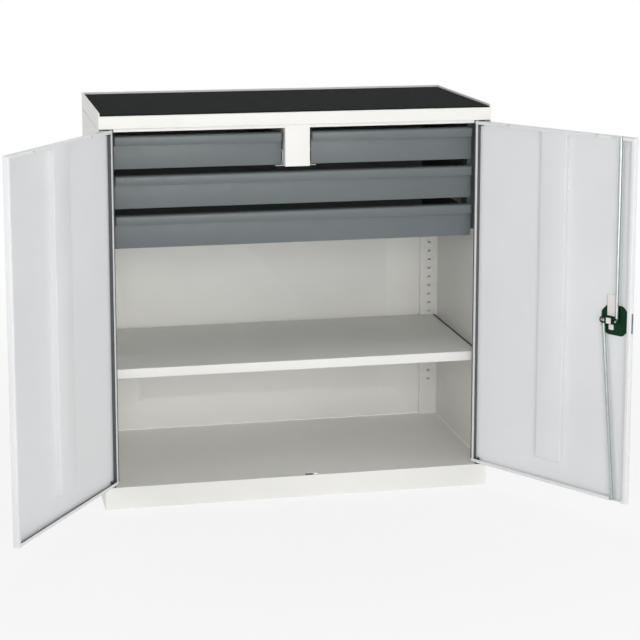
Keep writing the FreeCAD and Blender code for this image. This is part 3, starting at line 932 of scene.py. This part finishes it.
@dataclass
class LockDoor(Door):
    """The door that carries the lock, with slots for the rods and the bolt."""

    lock_from_edge: float = 0.062
    reach: float = 0.020
    rod_q: float = 0.0118
    rod_radius: float = 0.004
    rod_play: float = 0.0004
    slot_play: float = 0.003
    foot_from_edge: float = 0.042
    bolt_tall: float = 0.049
    bolt_play: float = 0.0003
    bolt_slot: float = 0.0095
    bolt_way: float = 0.0038
    edge_reach: float = 0.003
    guide_thickness: float = 0.003
    guide_lap: float = 0.0008
    guide_margin: float = 0.002
    trim_reach: float = 0.02
    plate_shift: float = 0.009
    plate_wide: float = 0.080
    plate_tall: float = 0.075
    plate_corner: float = 0.018
    plate_round: float = 0.005
    plate_edge: float = 0.0016
    plate_face: float = 0.005
    bar_wide: float = 0.024
    bar_low: float = 0.010
    bar_tall: float = 0.052
    bar_face: float = 0.0074
    bar_edge: float = 0.0008
    pad_wide: float = 0.014
    pad_tall: float = 0.015
    pad_drop: float = 0.017
    pad_corner: float = 0.002
    rose_radius: float = 0.019
    rose_thickness: float = 0.005
    rose_rim: float = 0.004
    rose_edge: float = 0.002
    rose_sides: int = 64
    neck_hole: float = 0.0085
    neck_sides: int = 48

    @property
    def lock_s(self) -> float:
        """The lock's distance from the hinge edge."""
        return self.width - self.lock_from_edge

    @property
    def lock_z(self) -> float:
        """The lock's height."""
        return (self.low + self.high) / 2

    @property
    def bolt_heights(self) -> tuple:
        """The range of heights of the ways that the bolt slides in."""
        return self.heights(self.bolt_tall / 2 + self.bolt_play)

    def heights(self, half: float) -> tuple:
        """The range of heights that reaches so far above and below the lock's middle."""
        return (self.lock_z - half, self.lock_z + half)

    def build(self) -> None:
        """Models the door, then the lock's fixed pieces on it and the bolt."""
        super().build()
        self.opened(self.plate()).finish(self.name, LOCK_GREEN, ["lock_plate"])
        self.opened(self.housing()).finish(self.name, LIGHT_PLASTIC, ["handle_housing"])
        self.opened(self.pad()).finish(self.name, LIGHT_PLASTIC, ["lock_pad"])
        self.opened(self.rose()).finish(self.name, DARK_PLASTIC, ["handle_rose"])
        # The dark liner behind the bolt slot is painted shade that makes the slot read dark.
        self.opened(self.guide()).finish(self.name, DARK_PLASTIC)
        self.bolt().finish("side_bolt", ZINC, ["side_bolt"])

    def pan(self) -> Bench:
        """The pan, with its slots and the hole for the handle's neck.

        Returns:
            The pan, shut.
        """
        piece = super().pan()
        depth = (self.rod_q - self.rod_radius - self.rod_play, self.depth + OVERCUT)
        half = self.rod_radius + self.slot_play
        upper = self.lock_s + self.reach
        piece.cut(self.block("upper_slot", (upper - self.reach - half, upper + half), depth,
                             (self.high - self.lip - OVERCUT, self.high + OVERCUT)))
        foot = self.width - self.foot_from_edge
        piece.cut(self.block("lower_slot", (foot - half, foot + self.reach + half), depth,
                             (self.low - OVERCUT, self.low + self.lip + OVERCUT)))
        piece.cut(self.neck_way(SHEET + OVERCUT))
        return piece.cut(self.block("bolt_slot", (self.width - self.edge_reach, self.width + OVERCUT),
                                    (SHEET, self.bolt_slot), self.bolt_heights))

    def neck_way(self, depth: float) -> Bench:
        """The hole for the handle's neck and the spindle, from outside the rose to a depth in the door."""
        ends = [self.spot(self.lock_s, q, self.lock_z) for q in (-self.rose_thickness - OVERCUT, depth)]
        return Bench("neck_way").barrel(*ends, self.neck_hole, self.neck_sides)

    def plate(self) -> Bench:
        """The lock's cover plate with cut corners, rounded all over, and ways through for bolt and spindle.

        Returns:
            The plate, shut.
        """
        half, s = self.plate_wide / 2, self.lock_s + self.plate_shift
        piece = self.block("lock_cover", (s - half, s + half), (SHEET, self.plate_face),
                           self.heights(self.plate_tall / 2))
        piece.round(along(Axis.Y), self.plate_corner, 1)
        piece.round(along(Axis.Y), self.plate_round)
        piece.drop(facing(Axis.Y, -1))
        piece.round(folds(), self.plate_edge, 3).thicken()
        piece.cut(self.block("bolt_way", (s, s + self.plate_wide), (SHEET - OVERCUT, self.bolt_way),
                             self.bolt_heights))
        return piece.cut(self.neck_way(self.plate_face + OVERCUT))

    def housing(self) -> Bench:
        """The light rear half of the handle's housing, stepped over the cover plate's edge.

        Returns:
            The housing, shut.
        """
        low = self.lock_z + self.bar_low
        ends = (self.lock_s - self.bar_wide / 2, self.lock_s + self.bar_wide / 2)
        over = self.block("housing_bar", ends, (self.plate_face, self.bar_face), (low, low + self.bar_tall))
        foot = self.block("housing_foot", ends, (SHEET, self.bar_face),
                          (self.lock_z + self.plate_tall / 2, low + self.bar_tall))
        return over.weld(foot).soften(self.bar_edge, 3)

    def pad(self) -> Bench:
        """The light pad on the cover plate under the lever.

        Returns:
            The pad, shut.
        """
        s, z = self.lock_s, self.lock_z - self.pad_drop
        piece = self.block("lever_pad", (s - self.pad_wide / 2, s + self.pad_wide / 2),
                           (self.plate_face, self.bar_face), (z - self.pad_tall / 2, z + self.pad_tall / 2))
        return piece.round(along(Axis.Y), self.pad_corner).soften(SOFT_EDGE, 3)

    def guide(self) -> Bench:
        """The dark liner behind the slot in the edge, with a way through for the bolt: painted shade that
        makes the slot read dark.

        Returns:
            The guide, shut.
        """
        end = self.width - SHEET
        piece = self.block("bolt_guide", (end - self.guide_thickness, end - HAIR),
                           (SHEET + HAIR, self.bolt_slot + self.guide_lap),
                           self.heights(self.bolt_tall / 2 + self.guide_margin))
        piece.cut(self.block("guide_way", (end - self.trim_reach, end + self.trim_reach),
                             (SHEET, self.bolt_way), self.bolt_heights))
        return piece.soften(THIN_EDGE)

    def bolt(self) -> Bench:
        """The side bolt, drawn back behind the dark liner's face.

        Returns:
            The bolt, open.
        """
        tool = self.block("bolt_trim", (self.width - SHEET - self.guide_thickness - OVERCUT,
                                        self.width + self.trim_reach),
                          (-DEEP_CUT, self.trim_reach), self.heights(self.bolt_tall))
        return Bench("side_bolt_form").twin("side_bolt").cut(self.opened(tool)).soften(FINE_EDGE, 3)

    def rose(self) -> Bench:
        """The round rose outside, domed at its rim.

        Returns:
            The rose, shut.
        """
        ends = [self.spot(self.lock_s, q, self.lock_z) for q in (-self.rose_thickness, 0.0)]
        piece = Bench("rose").barrel(*ends, self.rose_radius, self.rose_sides)
        piece.round(lambda e: all(v.co.y < self.front - self.rose_rim for v in e.verts), self.rose_edge)
        return piece.cut(self.neck_way(OVERCUT))


@dataclass
class Lock:
    """The moving lock: lever, spindle, washer, outside handle, key cylinder and rods."""

    handle_edge: float = 0.0022

    def build(self) -> None:
        """Softens each node's edges and gives it its finish."""
        for node, body, finish, radius in (
                ("lock_arms", "lock", LOCK_GREEN, FINE_EDGE),
                ("lock_spindle", "lock", LIGHT_PLASTIC, FINE_EDGE),
                ("lock_clip", "lock", LIGHT_PLASTIC, THIN_EDGE),
                ("lock_handle", "lock", DARK_PLASTIC, self.handle_edge),
                ("key_plug", "lock", KEY_METAL, THIN_EDGE),
                ("upper_rod", "upper_rod", ZINC, FINE_EDGE),
                ("lower_rod", "lower_rod", ZINC, FINE_EDGE)):
            Bench(node + "_form").twin(node).soften(radius, 3).finish(body, finish, [node])


@dataclass
class Drawer:
    """A drawer: front with folded edges, rounded grip, box, runners and the rails they run in."""

    name: str
    front_radius: float = 0.0016
    front_return: float = 0.006
    front_wall: float = 0.0008
    grip_radius: float = 0.006
    grip_end_radius: float = 0.005
    grip_wall: float = 0.0018
    box_radius: float = 0.0018

    def build(self) -> None:
        """Models the drawer's pieces."""
        self.front()
        self.grip()
        self.tray()
        for part, body in (("_runners", self.name), ("_rails", "cabinet")):
            node = self.name + part
            Bench(node + "_form").twin(node).soften(FINE_EDGE).finish(body, ZINC, [node])

    def front(self) -> None:
        """The front sheet with its edges folded back."""
        low, (x1, _, z1) = node_box(self.name + "_front")
        sheet = Bench(self.name + "_face").block(low, (x1, low[1] + self.front_return, z1))
        sheet.drop(facing(Axis.Y, 1))
        sheet.round(folds(), self.front_radius).thicken(self.front_wall)
        sheet.finish(self.name, DRAWER_PAINT, [self.name + "_front"])

    def grip(self) -> None:
        """The bent grip along the top, open below, with rounded ends."""
        hood = Bench(self.name + "_pull").block(*node_box(self.name + "_grip"))
        hood.drop(any_of(facing(Axis.Z, -1), facing(Axis.Y, 1)))
        hood.round(lambda e: len(e.link_faces) == 2 and along(Axis.X)(e), self.grip_radius, 6)
        hood.round(folds(), self.grip_end_radius).thicken(self.grip_wall)
        hood.soften(FINE_EDGE).finish(self.name, DRAWER_PAINT, [self.name + "_grip"])

    def tray(self) -> None:
        """The open box behind the front."""
        box = Bench(self.name + "_tray").block(*node_box(self.name + "_box"))
        box.drop(facing(Axis.Z, 1))
        box.round(folds(), self.box_radius, 3).thicken()
        box.finish(self.name, DRAWER_PAINT, [self.name + "_box"])


@dataclass(frozen=True)
class Lamp:
    """A large soft area light: its place, the point that it looks at, its side and its power in watts."""

    name: str
    place: tuple
    aim: tuple
    size: float
    power: float

    def hang(self) -> None:
        """Makes the light and hangs it in the scene."""
        data = bpy.data.lights.new(self.name, "AREA")
        data.size = self.size
        data.energy = self.power
        lamp = bpy.data.objects.new(self.name, data)
        lamp.location = self.place
        lamp.rotation_euler = (Vector(self.aim) - Vector(self.place)).to_track_quat("-Z", "Y").to_euler()
        bpy.context.scene.collection.objects.link(lamp)


@dataclass
class Studio:
    """The floor, soft light, white background and the camera of the photograph's view."""

    eye: tuple = (-0.875456, -4.635886, 1.517659)
    yaw: float = 0.208695
    pitch: float = 0.159742
    focal_pixels: float = 1803.0
    frame_pixels: float = 640.0
    sensor: float = 36.0
    shift_y: float = -0.2
    clip_end: float = 200.0
    sky: float = 0.40
    white: float = 1.0
    floor_side: float = 80.0
    floor_drop: float = 0.0005
    floor_colour: tuple = (0.93, 0.93, 0.93)
    floor_roughness: float = 0.8
    floor_specular: float = 0.2
    floor_fade: tuple = (0.8, 3.4)
    floor_haze: float = 0.78
    lamps: tuple = (Lamp("front", (-0.2, -5.0, 1.25), (0, 0, 0.5), 2.4, 81.0),
                    Lamp("left", (-4.2, -2.6, 1.5), (0.4, -0.4, 0.5), 2.0, 38.0),
                    Lamp("right", (3.4, -3.4, 1.3), (-0.3, -0.3, 0.55), 1.8, 38.0),
                    Lamp("rear", (0.8, 3.6, 3.6), (0, 0.25, 0.5), 2.4, 46.0))

    def build(self) -> None:
        """Makes the floor, lights, background and camera."""
        self.floor()
        for lamp in self.lamps:
            lamp.hang()
        self.background()
        self.camera()
        bpy.context.scene.view_settings.view_transform = "Standard"

    def floor(self) -> None:
        """A plain pale floor that turns into the white background away from the cabinet."""
        deselect()
        bpy.ops.mesh.primitive_plane_add(size=self.floor_side, location=(0, 0, -self.floor_drop))
        floor = bpy.context.active_object
        floor.name = "floor"
        bpy.ops.object.transform_apply()
        made = bpy.data.materials.new("floor_pale")
        made.use_nodes = True
        tree = made.node_tree
        shader = tree.nodes["Principled BSDF"]
        shader.inputs["Base Color"].default_value = opaque(self.floor_colour)
        shader.inputs["Roughness"].default_value = self.floor_roughness
        shader.inputs["Specular IOR Level"].default_value = self.floor_specular
        start = Signal(tree)
        place = start.node("ShaderNodeTexCoord", output="Object")
        away = start.node("ShaderNodeVectorMath", output="Value", props={"operation": "LENGTH"}, in0=place)
        white = start.node("ShaderNodeEmission", Strength=self.white)
        share = self.seen(start) * away.span(*self.floor_fade, self.floor_haze, 1.0)
        mixed = start.node("ShaderNodeMixShader", in0=share, in1=Signal(tree, shader.outputs[0]), in2=white)
        tree.links.new(mixed.socket, tree.nodes["Material Output"].inputs["Surface"])
        floor.data.materials.append(made)
        floor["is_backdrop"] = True

    @staticmethod
    def seen(start: Signal) -> Signal:
        """Tells the rays that show the background: the camera's, and those in metal and glass.

        Args:
            start: the start of the tree.

        Returns:
            1 for those rays and 0 for others.
        """
        rays = [start.node("ShaderNodeLightPath", output=way)
                for way in ("Is Camera Ray", "Is Glossy Ray", "Is Transmission Ray")]
        return (rays[0] + rays[1] + rays[2]).span(0.0, 1.0)

    def background(self) -> None:
        """A white background to the camera, and an even sky for the light."""
        world = bpy.data.worlds.new("studio")
        bpy.context.scene.world = world
        world.use_nodes = True
        sockets = world.node_tree.nodes["Background"].inputs
        start = Signal(world.node_tree)
        start.feed(sockets["Strength"], self.seen(start) * (self.white - self.sky) + self.sky)
        sockets["Color"].default_value = (1, 1, 1, 1)

    def camera(self) -> None:
        """The camera, from a fit to the cabinet's corners."""
        data = bpy.data.cameras.new("view")
        data.sensor_width = self.sensor
        data.lens = self.focal_pixels / self.frame_pixels * self.sensor
        data.shift_y = self.shift_y
        data.clip_end = self.clip_end
        view = bpy.data.objects.new("view", data)
        view.location = self.eye
        way = Vector((math.sin(self.yaw) * math.cos(self.pitch), math.cos(self.yaw) * math.cos(self.pitch),
                      -math.sin(self.pitch)))
        view.rotation_euler = way.to_track_quat("-Z", "Y").to_euler()
        bpy.context.scene.collection.objects.link(view)
        bpy.context.scene.camera = view


def write_sizes() -> None:
    """Makes plain lists of the CAD box and the finished box, and does nothing more with them."""
    def plain(box: tuple) -> list:
        """A box as lists of numbers."""
        return [[float(value) for value in corner] for corner in box]
    {"cad": plain(CAD_BOX), "visual": plain(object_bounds())}


def main() -> None:
    """Builds the cabinet piece by piece, then the studio."""
    logging.basicConfig(level=logging.INFO)
    Carcass().build()
    Door(Hand.LEFT, sill_seal=True).build()
    # The right door's hinge strip is thicker, so that more painted shade shows by its hinge.
    LockDoor(Hand.RIGHT, shade_strip_thickness=0.006).build()
    Lock().build()
    for name in ("small_drawer_left", "small_drawer_right", "upper_drawer", "lower_drawer"):
        Drawer(name).build()
    Studio().build()
    write_sizes()


if __name__ == "__main__":
    main()
